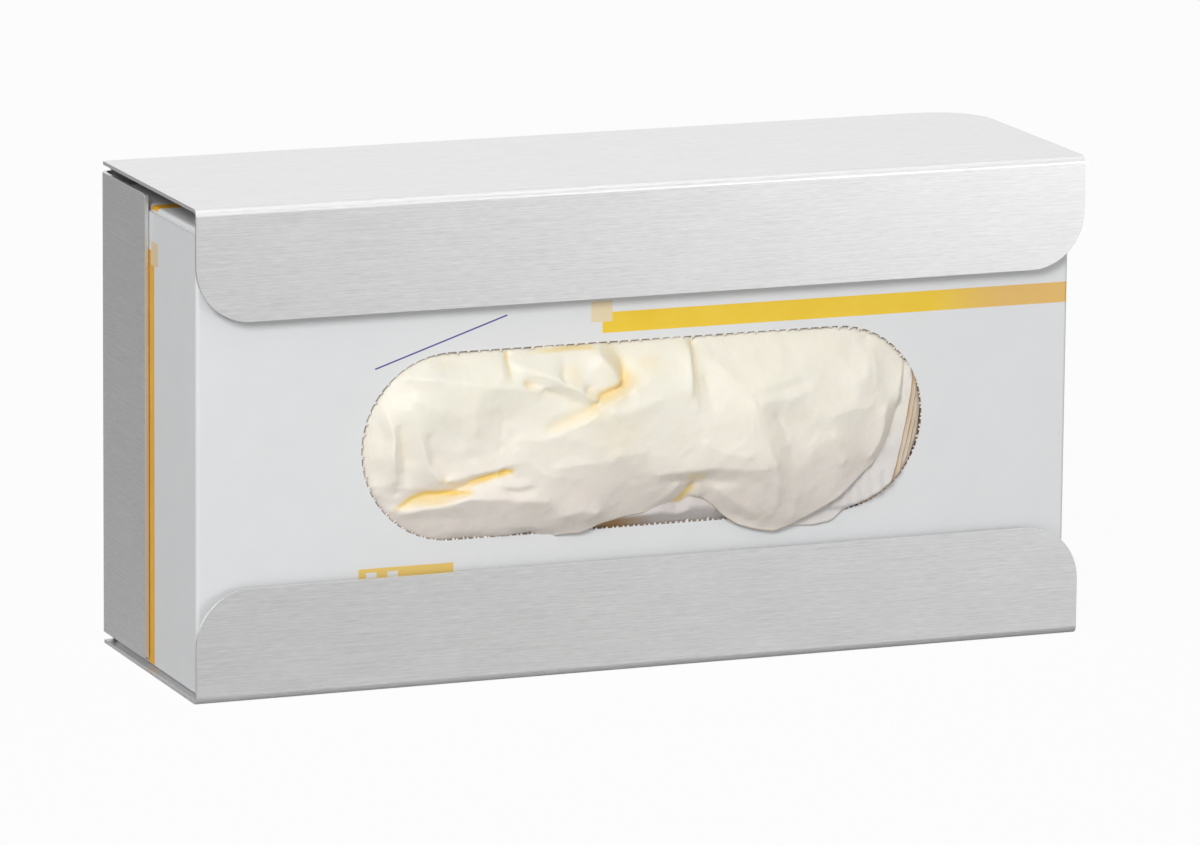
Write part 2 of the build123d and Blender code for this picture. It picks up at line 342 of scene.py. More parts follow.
def makeHolder():
    low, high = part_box("holder")
    low, high = [v / mm for v in low], [v / mm for v in high]
    s = holderSizes
    t, r, steps, arcs = s["sheet"], s["bend"], s["bendSteps"], s["cornerSteps"]
    left, right, base, top, front, wall = low[0], high[0], low[2], high[2], low[1], high[1]
    verts, faces, uvs = [], [], []

    def skin(rows, flip):
        # rows of points become a grid of quads; each point carries its place on the flat blank
        start = len(verts)
        width = len(rows[0])
        for row in rows:
            for point, uv in row:
                verts.append(point)
                uvs.append(uv)
        for j in range(len(rows) - 1):
            for i in range(width - 1):
                a = start + j * width + i
                quad = (a, a + 1, a + width + 1, a + width)
                faces.append(quad[::-1] if flip else quad)

    def bothSkins(path, limits, flip=False):
        # path: outside point, inward direction, run along the blank; limits: the row's columns
        for depth in (0.0, t):
            rows = []
            for (y, z, ny, nz, run), columns in zip(path, limits):
                rows.append([((x, y + ny * depth, z + nz * depth), (x, run)) for x in columns])
            skin(rows, flip if depth == 0 else not flip)

    def lipRows(sign):
        # a lip from its free edge, its bend, then the top or base plate back to the wall plate's bend
        edge = top if sign > 0 else base
        path, limits = [], []
        corners, b = s["lipCorner"], s["lipBend"]
        free = edge - sign * s["lipHeight"]
        for k in range(arcs + 1):
            angle = math.pi / 2 * k / arcs
            inset = corners * (1 - math.sin(angle))
            z = free + sign * corners * (1 - math.cos(angle))
            path.append((front, z, 1, 0, sign * (z - free)))
            limits.append([left + inset, left + inset + r, right - inset])
        run = s["lipHeight"] - b
        for k in range(steps + 1):
            angle = math.pi / 2 * k / steps
            y = front + b * (1 - math.cos(angle))
            z = edge - sign * b * (1 - math.sin(angle))
            path.append((y, z, math.cos(angle), -sign * math.sin(angle), run + b * angle))
            limits.append([left, left + r, right])
        run += b * math.pi / 2 - front - b
        back = wall - r
        arc = s["endCorner"]
        path.append((back - arc, edge, 0, -sign, run + back - arc))
        limits.append([left, left + r, right])
        for k in range(1, arcs + 1):
            angle = math.pi / 2 * k / arcs
            y = back - arc + arc * math.sin(angle)
            path.append((y, edge, 0, -sign, run + y))
            limits.append([left, left + r, right - arc * (1 - math.cos(angle))])
        return path, limits, run + back

    for sign in (1, -1):
        path, limits, run = lipRows(sign)
        bothSkins(path, limits, flip=sign < 0)
        # the bend into the wall plate, up to half of the wall plate
        edge = top if sign > 0 else base
        path, limits = [], []
        columns = [left + r, right - s["endCorner"]]
        for k in range(steps + 1):
            angle = math.pi / 2 * k / steps
            y = wall - r * (1 - math.sin(angle))
            z = edge - sign * r * (1 - math.cos(angle))
            path.append((y, z, -math.sin(angle), -sign * math.cos(angle), run + r * angle))
            limits.append(columns)
        path.append((wall, 0.5 * (top + base), -1, 0, run + r * math.pi / 2 + 0.5 * (top - base) - r))
        limits.append(columns)
        bothSkins(path, limits, flip=sign < 0)

    # cheek: from the wall plate's left edge round its bend and forward
    zLow, zHigh = base + r, top - r
    stations = []
    for k in range(steps + 1):
        angle = math.pi / 2 * k / steps
        x = left + r * (1 - math.sin(angle))
        y = wall - r * (1 - math.cos(angle))
        stations.append((x, y, math.sin(angle), -math.cos(angle), r * angle, 0.0))
    stations.append((left, wall - s["cheekDepth"] + s["cheekCorner"], 1, 0, s["cheekDepth"], 0.0))
    for k in range(1, s["cheekCornerSteps"] + 1):
        angle = math.pi / 2 * k / s["cheekCornerSteps"]
        y = wall - s["cheekDepth"] + s["cheekCorner"] * (1 - math.sin(angle))
        stations.append((left, y, 1, 0, -y, s["cheekCorner"] * (1 - math.cos(angle))))
    middle = 0.5 * (top + base)
    for depth in (0.0, t):
        rows = []
        for x, y, nx, ny, run, inset in stations:
            rows.append([((x + nx * depth, y + ny * depth, z), (left - run, z))
                         for z in (zLow + inset, middle, zHigh - inset)])
        skin(rows, depth == 0)

    obj = newObject("holderSheet", [[c * mm for c in v] for v in verts], faces)
    layer = obj.data.uv_layers.new(name="blank")
    for loop in obj.data.loops:
        u, v = uvs[loop.vertex_index]
        layer.data[loop.index].uv = (u * mm, v * mm)
    closeRim(obj)
    return obj


def closeRim(obj):
    # the two skins are joined along every open edge by the sheet's thickness
    bm = bmesh.new()
    bm.from_mesh(obj.data)
    bmesh.ops.remove_doubles(bm, verts=bm.verts, dist=2e-6)
    uv = bm.loops.layers.uv.verify()
    t = holderSizes["sheet"] * mm
    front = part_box("holder")[0][1]
    openEdges = [e for e in bm.edges if e.is_boundary]
    points = {}
    for e in openEdges:
        for v in e.verts:
            points[v] = None
    tree = list(points)
    # each open point's partner is the nearest open point one thickness away, along the skin's normal
    coords = np.array([v.co for v in tree])
    partner = {}
    for i, v in enumerate(tree):
        inward = -v.normal * t
        for sign in (1, -1):
            aim = np.array(v.co + sign * inward)
            d = np.linalg.norm(coords - aim, axis=1)
            j = int(d.argmin())
            if d[j] < 0.35 * t:
                partner[v] = tree[j]
                break
    made = set()
    for e in openEdges:
        a, b = e.verts
        if a not in partner or b not in partner:
            continue
        c, d = partner[a], partner[b]
        key = frozenset((a, b, c, d))
        if key in made or len(key) < 4:
            continue
        made.add(key)
        try:
            f = bm.faces.new((a, b, d, c))
        except ValueError:
            continue
        f.normal_update()
        # the lips' free edges show a cut face, in the cut edge's paint with its painted shade
        onLip = e.verts[0].co.y < front + 2 * t
        f.material_index = 1 if onLip and abs(f.normal.z) > 0.5 else 0
        near = {l.vert: l[uv].uv.copy() for l in e.link_loops[0].face.loops}
        for l in f.loops:
            l[uv].uv = near.get(l.vert, near.get(partner[l.vert], near[a]))
    bmesh.ops.recalc_face_normals(bm, faces=bm.faces)
    print("holder closed", len(bm.faces), "faces", sum(e.is_boundary for e in bm.edges), "open edges")
    bm.to_mesh(obj.data)
    bm.free()


def drillHolder(obj):
    hole = holderSizes["screwHole"] * mm / 2
    spanX, spanZ = [v * mm for v in holderSizes["screwSpan"]]
    verts, faces = [], []
    sides, reach = holderSizes["drillSides"], holderSizes["drillReach"] * mm
    for x in (-spanX / 2, spanX / 2):
        for z in (-spanZ / 2, spanZ / 2):
            start = len(verts)
            for y in (-reach, reach):
                verts += [(x + hole * math.cos(a), y, z + hole * math.sin(a))
                          for a in (2 * math.pi * k / sides for k in range(sides))]
            for k in range(sides):
                n = (k + 1) % sides
                faces.append((start + k, start + n, start + sides + n, start + sides + k))
            faces.append([start + k for k in range(sides)][::-1])
            faces.append([start + sides + k for k in range(sides)])
    cutter = newObject("drill", verts, faces, smooth=False)
    weld(cutter)
    modifier = obj.modifiers.new("drill", "BOOLEAN")
    modifier.operation = "DIFFERENCE"
    modifier.solver = "EXACT"
    modifier.object = cutter
    settle(obj)
    bpy.data.objects.remove(cutter)


holderSheet = makeHolder()
drillHolder(holderSheet)
holderSheet.data.materials.clear()
holderSheet.data.materials.append(steelPaint())
holderSheet.data.materials.append(cutEdgeAndShadePaint())
edge = holderSheet.modifiers.new("edge", "BEVEL")
edge.width = holderSizes["edgeBreak"] * mm
edge.segments = 2
edge.limit_method = "ANGLE"
edge.angle_limit = math.radians(50)
edge.harden_normals = True
holderSheet.data.shade_smooth()
flat = holderSheet.modifiers.new("flat", "WEIGHTED_NORMAL")
flat.keep_sharp = True
settle(holderSheet)
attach(holderSheet, "root")
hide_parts("holder")
print("holder folded")


cartonPrint = {
    "bandHeights": (25.1, 30.6),      # the yellow band, from the frame's middle, in mm
    "bandStart": -11.4,
    "bandFade": (82.0, 102.0),        # where its yellow turns to sand
    "squareAcross": (-14.6, -8.7),
    "squareHeights": (28.1, 33.7),
    "lowFieldAcross": (-78.9, -52.6),
    "lowFieldTop": -33.1,
    "whiteSquares": (-76.8, -70.9),
    "endStripe": (-41.4, -36.2),      # the stripe on the left end, along Y
    "endStripeTop": 47.5,
    "endSquare": (-44.3, -38.9),
    "endSquareHeights": (43.7, 50.0),
    "ruleFrom": (-74.5, 19.6),
    "ruleTo": (-38.0, 31.6),
    "ruleHalf": 0.2,
    "whiteSquareWide": 2.9,
    "whiteSquareDrop": 1.1,
}

cartonInks = {
    "white": (srgb(219, 220, 221), srgb(221, 222, 223)),
    "yellow": (srgb(231, 193, 44), srgb(236, 200, 58)),
    "orange": (srgb(226, 164, 30), srgb(233, 176, 44)),
    "sand": srgb(224, 182, 104),
    "lowField": srgb(226, 193, 108),
    "square": srgb(226, 208, 172),
    "endSquare": srgb(222, 200, 160),
    "rule": srgb(70, 62, 140),
    # the cut edge's grey-brown core, its colour darkened with painted shade
    "coreAndShade": srgb(150, 128, 104),
}


def boardPaint():
    paint = Paint("coatedBoard")
    x, y, z = paint.axes(paint.place((1000, 1000, 1000)))
    p = cartonPrint
    low, high = [[c / mm for c in v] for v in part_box("glove_carton")]
    onFront = paint.between(y, low[1] - 1, low[1] + 0.9, 0.05)
    onLeft = paint.between(x, low[0] - 1, low[0] + 0.9, 0.05)
    onTop = paint.between(z, high[2] - 0.9, high[2] + 1, 0.05)
    soft = 0.06

    def field(u, uRange, v, vRange):
        return paint.between(u, *uRange, soft) * paint.between(v, *vRange, soft)

    band = field(x, (p["bandStart"], 200), z, p["bandHeights"]) * (1.0 - onLeft)
    lowField = field(x, p["lowFieldAcross"], z, (-46, p["lowFieldTop"])) * onFront
    for start in p["whiteSquares"]:
        wide = (start, start + p["whiteSquareWide"])
        tall = (-46, p["lowFieldTop"] - p["whiteSquareDrop"])
        lowField = lowField * (1.0 - field(x, wide, z, tall))
    endStripe = field(y, p["endStripe"], z, (-80, p["endStripeTop"])) * onLeft
    topStripe = paint.between(y, *p["endStripe"], soft) * onTop
    square = field(x, p["squareAcross"], z, p["squareHeights"]) * onFront
    endSquare = field(y, p["endSquare"], z, p["endSquareHeights"]) * onLeft
    # a thin slanted rule
    (ax, az), (bx, bz) = p["ruleFrom"], p["ruleTo"]
    run = math.hypot(bx - ax, bz - az)
    dx, dz = (bx - ax) / run, (bz - az) / run
    along = (x - ax) * dx + (z - az) * dz
    across = (z - az) * dx - (x - ax) * dz
    half = p["ruleHalf"]
    rule = paint.between(along, 0, run, soft) * paint.between(across, -half, half, 0.08) * onFront

    mottle = paint.noise(paint.place((90, 90, 90)), 1.0, 4.0, 0.55)
    fibre = paint.noise(paint.place((2600, 2600, 2600)), 1.0, 2.0, 0.5)
    white, yellow, orange = [paint.ramp(mottle, [(0.3, cartonInks[name][0]), (0.7, cartonInks[name][1])])
                             for name in ("white", "yellow", "orange")]
    fadeFrom, fadeTo = p["bandFade"]
    faded = paint.ramp((x - fadeFrom) * (1 / (fadeTo - fadeFrom)), [(0, (0, 0, 0)), (1, (1, 1, 1))])
    yellow = paint.mix(faded, yellow, cartonInks["sand"])
    # the board's cut edge shows its grey-brown core, darkened by painted shade for the gap at the window's
    # rim
    inset = 6
    coreAndShade = paint.between(y, low[1] + 0.06, low[1] + 0.6, 0.03)
    coreAndShade = coreAndShade * paint.between(x, low[0] + inset, high[0] - inset, 0.1)
    coreAndShade = coreAndShade * paint.between(z, low[2] + inset, high[2] - inset, 0.1)
    ink = paint.mix(band, white, yellow)
    for mask, colour in ((lowField, cartonInks["lowField"]), (endStripe, orange), (topStripe, orange),
                         (square, cartonInks["square"]), (endSquare, cartonInks["endSquare"]),
                         (rule, cartonInks["rule"]), (coreAndShade, cartonInks["coreAndShade"])):
        ink = paint.mix(mask, ink, colour)
    paint.set(Base_Color=ink, Roughness=0.34 + mottle * 0.12, Specular_IOR_Level=0.45,
              Normal=paint.bump(fibre * 0.35 + mottle, 0.00006, 0.5))
    return paint.material


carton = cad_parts["glove_carton"]
carton.data.materials.clear()
carton.data.materials.append(boardPaint())
print("carton printed")

window = {
    "middle": (0.8, -2.2),        # in the frame, mm
    "halfLength": 79.0,
    "halfHeight": 25.0,
    "board": -75.0,               # the board's face, along Y
}

tornRim = {
    "pitch": 3.0,        # mm from one torn tie to the next
    "length": 0.8,
    "width": 0.9,
    "thread": 0.15,      # radius of the frayed edge
    "fray": 0.12,
    "frayStep": 0.6,
    "behind": 0.16,      # how far the rim lies behind the board's face
    "tieDepth": 0.4,
    "tieSmallest": (0.55, 0.7, 0.35),
    "tieLargest": (1.35, 1.1, 1.3),
    "tieTurn": 0.35,
    "seed": 7,
}


def tornPaint(name, light, dark):
    paint = Paint(name)
    fibre = paint.noise(paint.place((1400, 1400, 1400)), 1.0, 3.0, 0.6)
    patch = paint.noise(paint.place((260, 260, 260)), 1.0, 2.0, 0.5)
    paint.set(Base_Color=paint.ramp(patch * 0.7 + fibre * 0.3, [(0.36, dark), (0.62, light)]), Roughness=0.8,
              Normal=paint.bump(fibre, 0.00005, 0.6))
    return paint.material


def makeTornRim():
    low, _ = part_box("glove_carton")
    cx, cz = window["middle"]
    verts = []
    radius, straight = window["halfHeight"], window["halfLength"] - window["halfHeight"]
    for side in (1, -1):
        for k in range(49):
            angle = math.pi * k / 48 - math.pi / 2
            x = side * (straight + radius * math.cos(angle))
            z = side * radius * math.sin(angle)
            verts.append(((x + cx) * mm, low[1] + tornRim["behind"] * mm, (z + cz) * mm))
    obj = newObject("tornRim", verts, [])
    bm = bmesh.new()
    bm.from_mesh(obj.data)
    bm.verts.ensure_lookup_table()
    for k in range(len(verts)):
        bm.edges.new((bm.verts[k], bm.verts[(k + 1) % len(verts)]))
    bm.to_mesh(obj.data)
    bm.free()

    tree = bpy.data.node_groups.new("tornRim", "GeometryNodeTree")
    face = tree.interface
    face.new_socket("Outline", in_out="INPUT", socket_type="NodeSocketGeometry")
    sockets = {}
    for key in ("Pitch", "Length", "Width", "Thread", "Fray", "Straight"):
        sockets[key] = face.new_socket(key, in_out="INPUT", socket_type="NodeSocketFloat").identifier
    sockets["Seed"] = face.new_socket("Seed", in_out="INPUT", socket_type="NodeSocketInt").identifier
    for key in ("Ties", "Edge"):
        sockets[key] = face.new_socket(key, in_out="INPUT", socket_type="NodeSocketMaterial").identifier
    face.new_socket("Rim", in_out="OUTPUT", socket_type="NodeSocketGeometry")

    def add(kind, values=(), **settings):
        node = tree.nodes.new(kind)
        for key, value in settings.items():
            setattr(node, key, value)
        for key, value in (values.items() if isinstance(values, dict) else enumerate(values)):
            if isinstance(value, bpy.types.NodeSocket):
                tree.links.new(value, node.inputs[key])
            else:
                node.inputs[key].default_value = value
        return node

    group = add("NodeGroupInput").outputs
    outline = add("GeometryNodeMeshToCurve", [group["Outline"]]).outputs[0]
    # the frayed edge: a thin thread that wavers, coloured as torn grey-brown board darkened with painted
    # shade between the ties
    steps = {"Curve": outline, "Length": tornRim["frayStep"] * mm}
    fine = add("GeometryNodeResampleCurve", steps, mode="LENGTH").outputs[0]
    back = add("ShaderNodeMath", [group["Fray"], -1.0], operation="MULTIPLY").outputs[0]
    limits = {2: back, 3: group["Fray"], "Seed": group["Seed"]}
    waver = [add("FunctionNodeRandomValue", limits, data_type="FLOAT").outputs[1] for _ in (0, 1)]
    offset = add("ShaderNodeCombineXYZ", [waver[0], 0.0, waver[1]]).outputs[0]
    frayed = add("GeometryNodeSetPosition", {"Geometry": fine, "Offset": offset}).outputs[0]
    shape = {"Resolution": 6, "Radius": group["Thread"]}
    circle = add("GeometryNodeCurvePrimitiveCircle", shape, mode="RADIUS").outputs[0]
    swept = {"Curve": frayed, "Profile Curve": circle, "Fill Caps": False}
    thread = add("GeometryNodeCurveToMesh", swept).outputs[0]
    thread = add("GeometryNodeSetMaterial", {"Geometry": thread, "Material": group["Edge"]}).outputs[0]
    # the torn ties point to the window's middle line
    spaced = {"Curve": outline, "Length": group["Pitch"]}
    points = add("GeometryNodeCurveToPoints", spaced, mode="LENGTH").outputs[0]
    at = add("ShaderNodeSeparateXYZ", [add("GeometryNodeInputPosition").outputs[0]]).outputs
    cornerLow = add("ShaderNodeMath", [group["Straight"], -1.0], operation="MULTIPLY").outputs[0]
    clamped = add("ShaderNodeClamp", [at[0], cornerLow, group["Straight"]]).outputs[0]
    inX = add("ShaderNodeMath", [clamped, at[0]], operation="SUBTRACT").outputs[0]
    inZ = add("ShaderNodeMath", [cz * mm, at[2]], operation="SUBTRACT").outputs[0]
    inward = add("ShaderNodeCombineXYZ", [inX, 0.0, inZ]).outputs[0]
    aimed = add("FunctionNodeAlignRotationToVector", {"Vector": inward}, axis="Z", pivot_axis="Y").outputs[0]
    size = add("ShaderNodeCombineXYZ", [group["Width"], tornRim["tieDepth"] * mm, group["Length"]]).outputs[0]
    spread = {0: tornRim["tieSmallest"], 1: tornRim["tieLargest"], "Seed": group["Seed"]}
    chance = add("FunctionNodeRandomValue", spread, data_type="FLOAT_VECTOR").outputs[0]
    size = add("ShaderNodeVectorMath", [size, chance], operation="MULTIPLY").outputs[0]
    cone = {"Vertices": 6, "Radius Top": 0.2, "Radius Bottom": 0.5, "Depth": 1.0}
    tie = add("GeometryNodeMeshCone", cone).outputs[0]
    placed = {"Points": points, "Instance": tie, "Rotation": aimed, "Scale": size}
    ties = add("GeometryNodeInstanceOnPoints", placed).outputs[0]
    swing = tornRim["tieTurn"]
    turns = {0: (0, -swing, 0), 1: (0, swing, 0), "Seed": group["Seed"]}
    turn = add("FunctionNodeRandomValue", turns, data_type="FLOAT_VECTOR").outputs[0]
    ties = add("GeometryNodeRotateInstances", {"Instances": ties, "Rotation": turn}).outputs[0]
    ties = add("GeometryNodeSetMaterial", {"Geometry": add("GeometryNodeRealizeInstances", [ties]).outputs[0],
                                           "Material": group["Ties"]}).outputs[0]
    join = add("GeometryNodeJoinGeometry")
    tree.links.new(ties, join.inputs[0])
    tree.links.new(thread, join.inputs[0])
    tree.links.new(join.outputs[0], add("NodeGroupOutput").inputs[0])

    modifier = obj.modifiers.new("tornRim", "NODES")
    modifier.node_group = tree
    t = tornRim
    values = {"Pitch": t["pitch"] * mm, "Length": t["length"] * mm, "Width": t["width"] * mm,
              "Thread": t["thread"] * mm, "Fray": t["fray"] * mm, "Seed": t["seed"],
              "Straight": straight * mm + cx * mm,
              "Ties": tornPaint("tornBoard", srgb(238, 236, 232), srgb(196, 184, 170)),
              # the thread's colour: torn core, darkened as painted shade along the rim
              "Edge": tornPaint("tornCore", srgb(168, 152, 138), srgb(92, 78, 68))}
    for key, value in values.items():
        modifier[sockets[key]] = value
    settle(obj)
    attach(obj, "root")
    print("torn rim", len(obj.data.polygons), "faces")


makeTornRim()


gloveFilm = {
    "step": 0.5,                  # size of the film's mesh, mm
    "grid": 0.25,                 # size of the grid that the film is drawn on
    "thickness": 0.16,
    "softness": 0.32,             # how round the folds are
    "rim": -0.9,                  # where the film passes the torn rim, from the board's face
    "beyond": -3.0,
}

# The film is drawn tight over these lines: points from the window's middle, and how far each stands
# out of the board's face, in mm.
foldLines = [
    # long ridge, down to the left
    [(7.4, 20.1, 3.6), (4.9, 17.5, 6), (-1.4, 15.9, 7.6), (-10, 12.5, 8.8), (-14.5, 9.5, 9.2),
     (-20.5, 5.8, 9.2), (-26.4, 3.1, 8.8), (-31.7, 1.5, 8.2), (-37, 2.2, 7), (-39.3, 3.2, 5.8)],
    # pocket above it
    [(-9, 22.1, 0.8), (-7.3, 17.7, 1.8), (-7.4, 13.6, 2.2), (-13.5, 11.7, 4), (-18.4, 8.8, 6.6),
     (-23.6, 6.1, 6.6), (-29.9, 4.3, 6.4)],
    # flap from the top rim
    [(-14.6, 23.6, 0.6), (-14.3, 21.8, 4.6), (-12, 18.5, 5.6), (-9.6, 15.2, 6.2)],
    # flap's left side
    [(-22.9, 22, 1), (-23.8, 18.9, 2.6), (-25, 16.6, 4.4)],
    # flap's lower side
    [(-10.3, 14.5, 5.6), (-14.7, 13.9, 5.6), (-18.8, 13.2, 4.6)],
    # ridge into the pocket
    [(-38.9, 21.7, 1.6), (-36.6, 20.5, 3.4), (-31.3, 18.7, 5.6), (-26.3, 16.6, 6.8), (-21.6, 13.9, 7.6),
     (-15.6, 10.3, 8.2)],
    # below that ridge
    [(-35.2, 15.7, 3.6), (-31.5, 15, 4.6), (-26.7, 13.3, 5), (-22, 10.5, 5.8)],
    # left shoulder
    [(-69.1, 18.4, 0.4), (-66.7, 19.2, 2), (-59.9, 18.5, 4.4), (-51.6, 17.4, 5.6), (-43.1, 16.2, 6.2),
     (-37.4, 15.3, 5.8), (-28.7, 14.6, 6)],
    # crease from the top rim
    [(-38.9, 23.3, -1.2), (-39.3, 21.2, 0.8), (-39.3, 18.5, 3.2), (-39.4, 16.5, 5.2)],
    # left of that crease
    [(-40.4, 23, 0.2), (-41.2, 21.1, 2.6), (-41.6, 18.5, 5)],
    # top left facet
    [(-57.3, 22.2, 0.2), (-49.8, 22.9, 0.6), (-43.2, 23, 0.6)],
    # left end, first valley
    [(-75.9, 8.3, -0.2), (-73.4, 5, 1.4), (-74, 0.1, 1.6), (-75.1, -5.8, 0.6)],
    # left end, lit fold
    [(-73.7, 13, 0.6), (-72.3, 8.6, 3), (-71.2, 4.1, 4.2), (-71.9, -1.6, 4.2), (-70.9, -8.1, 3.4)],
    # left end, second valley
    [(-69.5, 6.8, 2.6), (-68.3, 0.9, 2.4), (-68.2, -5.4, 2.4), (-67.7, -9.2, 2.8)],
    # left end, second fold
    [(-67.4, 11.6, 4), (-64.7, 6.4, 4.6), (-63.4, 1.1, 5), (-62, -4.2, 5.2), (-59, -8.2, 5.2)],
    # behind the second fold
    [(-61.5, 3.9, 3.8), (-60.1, -2.5, 3.6), (-56.9, -7.4, 4)],
    # faint ridge upper left
    [(-65.4, 13.6, 4.4), (-62, 11.9, 4.9), (-58.2, 8.7, 5)],
    # faint vertical
    [(-49.7, 10.6, 6), (-49.3, 4.6, 6.2)],
    # broad left face
    [(-54.6, 7.8, 4.8), (-53.4, 2.4, 4.6), (-50.2, -3, 4.9)],
    # broad middle face
    [(-43.9, 11.4, 5.6), (-41.6, 7, 5.2), (-42.8, -0.2, 5.6)],
    # hem over the slit
    [(-56.7, -8.2, 5), (-52.6, -7.4, 5.6), (-48.4, -6.4, 6.2), (-42.2, -5.1, 7), (-37.9, -4, 7.4),
     (-34.1, -2.9, 7.6)],
    # upper pocket's floor
    [(-50.7, -8.9, 3.6), (-47.5, -8.2, 3.8), (-43.9, -7.1, 4.4), (-40.8, -6.5, 5)],
    # hem to the left rim
    [(-76.1, -9.4, 0.4), (-73, -9, 1.8), (-66.8, -9.7, 2.8), (-62.6, -10.1, 3.2), (-58.3, -10.2, 3.4),
     (-53.9, -10.2, 3.4), (-50.6, -9.9, 3.4)],
    # lower pocket's floor
    [(-69, -15.1, 0.6), (-66.1, -13.3, 0.9), (-62.9, -12.2, 1.1), (-57.5, -12, 1.3), (-52.8, -11.5, 2)],
    # lower glove's edge
    [(-71, -15.9, 0.8), (-66.6, -15.2, 2.2), (-60.4, -14, 3.2), (-54.2, -11.8, 4.2), (-48, -9, 5.2),
     (-43.5, -7, 6.2), (-40.6, -7.6, 6.6), (-37.7, -8.5, 6.8)],
    # tip
    [(-43.3, -9.5, 7.2), (-39, -10.9, 7.6), (-35.5, -10.1, 7.8), (-34.2, -9.2, 7.8)],
    # below the tip
    [(-40.8, -11.5, 6.4), (-37.6, -12.1, 6.8), (-34.5, -11.2, 7.2)],
    # third film at the left
    [(-74.8, -11, 0.6), (-71.6, -12.8, 0.8), (-69.9, -10.8, 0.8)],
    # lower roll
    [(-67.9, -15.9, 2.8), (-61, -14.8, 4.8), (-51.8, -13, 6.6), (-41.2, -13.6, 7.6), (-30.3, -15.3, 8)],
    # valley under the roll
    [(-64.5, -18.6, 1), (-57.9, -18.5, 2.4), (-50.4, -19.5, 3), (-39.4, -21.8, 3), (-30.4, -23.4, 2.6)],
    # lower rim fold
    [(-55.2, -22.3, 1.2), (-46.6, -23, 1.6), (-38.9, -23.8, 1.6)],
    # faint ridge low
    [(-24.8, -19.2, 6.6), (-20.1, -18.3, 7.2), (-15.4, -19.8, 6.6)],
    # middle face
    [(-28.3, -5.7, 9.6), (-20.2, -5.1, 10), (-12, -4.6, 10.2), (-13, -3.7, 10.4), (-4.2, -3.1, 10.4)],
    # upper middle face
    [(-13, 7.6, 10.2), (-5.4, 8.8, 10), (1, 10.7, 9.6)],
    # upper crease, lit side
    [(12.2, 23.5, -0.4), (10.8, 20.9, 4.4), (9.9, 16.8, 7.4), (9.5, 11.2, 9.4)],
    # upper crease
    [(13.1, 23.3, -1.2), (12.1, 20.5, 2.8), (11.2, 15.8, 5.9), (10.6, 11, 8.5), (10.7, 7.6, 9.6)],
    # beside the crease
    [(18.4, 22.6, 0.4), (17.2, 18.4, 4.2), (20, 16.6, 6), (23.1, 13, 7.8), (26, 9.2, 9.6)],
    # between
    [(14.8, 14.8, 5), (15.6, 9.3, 7.8), (16.2, 4.9, 9.6)],
    # cross crease
    [(27.8, 9.7, 8.9), (33.1, 9.8, 8.3), (37.9, 10.5, 7.3), (44.2, 12.2, 5.2)],
    # under the cross crease
    [(27.4, 8.1, 9.8), (32.7, 8, 9.3), (38.7, 8.1, 8.5), (45.3, 9.9, 6.5)],
    # over the cross crease
    [(27.2, 11.7, 8.6), (33.3, 11.8, 7.8), (38.8, 12.6, 6.6), (44.1, 14, 4.7)],
    # ridge down the right
    [(26.3, 7.9, 10.4), (28.3, 1.4, 11.2), (31.2, -5.3, 11.8), (33.1, -9.1, 11.8), (34.1, -14.9, 9.6),
     (34.9, -21, 6.8)],
    # right of that ridge
    [(33.7, 4, 8.4), (37.5, -3.9, 8.8), (39.8, -11.4, 8.2), (40.7, -19.7, 6.2), (40.6, -25.1, 3.6)],
    # right face
    [(46.1, 4.3, 7.8), (51.3, -2.7, 7.8), (54.4, -10.3, 6.8)],
    # faint right fold
    [(50.6, 2.8, 7.8), (55.3, 3.5, 7.2), (61.5, 3.5, 6.2)],
    # belly
    [(13, -1.7, 11.4), (17.8, -4.3, 12), (25.3, -6, 12.2)],
    # left of the belly
    [(-0.4, -3.4, 10.4), (2.2, -7.2, 10.2), (6, -8.6, 10.2)],
    # shelf
    [(-0, -9.4, 9.8), (7.2, -9.1, 10.4), (15.7, -8.7, 11.2), (23.1, -9.1, 11.6), (30.6, -9.6, 11.8)],
    # under the shelf
    [(3.3, -11.8, 7.6), (6.6, -12.3, 7.2), (14.2, -12.5, 7.2), (21.9, -13.1, 8.4), (29, -13.4, 9.6)],
    # notch
    [(11.2, -12.4, 5.6), (10.4, -14.9, 4.4), (8.7, -17.7, 2.6), (6.9, -19.2, 1.6)],
    # notch's left side
    [(6.5, -13.4, 7.6), (4.2, -16.1, 5.6), (0.6, -18.7, 3.6)],
    # notch's right side
    [(12.5, -14, 6.8), (12.6, -16.7, 5), (15.4, -18.3, 4.4)],
    # hanging fold
    [(17.2, -14.7, 7.6), (24, -19, 6.6), (30, -23.5, 4.6)],
    # hanging valley
    [(17.2, -18.4, 4.6), (23.6, -22.7, 3.2), (29.8, -26.1, 2)],
    # hanging middle
    [(29.9, -18.6, 7.6), (33.6, -23.7, 5)],
    # right end line
    [(63.1, 21.3, -0.9), (62.1, 17.2, 2.4), (61.2, 12.3, 5)],
    # right of that line
    [(64.1, 19.7, 0.4), (64, 15.4, 3.2), (64, 10.3, 4.6)],
    # right end fold
    [(72.7, 13.2, 0.8), (71.7, 8.8, 3), (70.9, 4.8, 3.6)],
    # beside the end crease
    [(66.6, 3, 5.4), (65.5, -4.1, 5.8), (62.8, -10, 5.2)],
    # end crease
    [(69.2, 1.1, 2.6), (69, -5, 2.2), (66.4, -11.3, 2.4)],
]

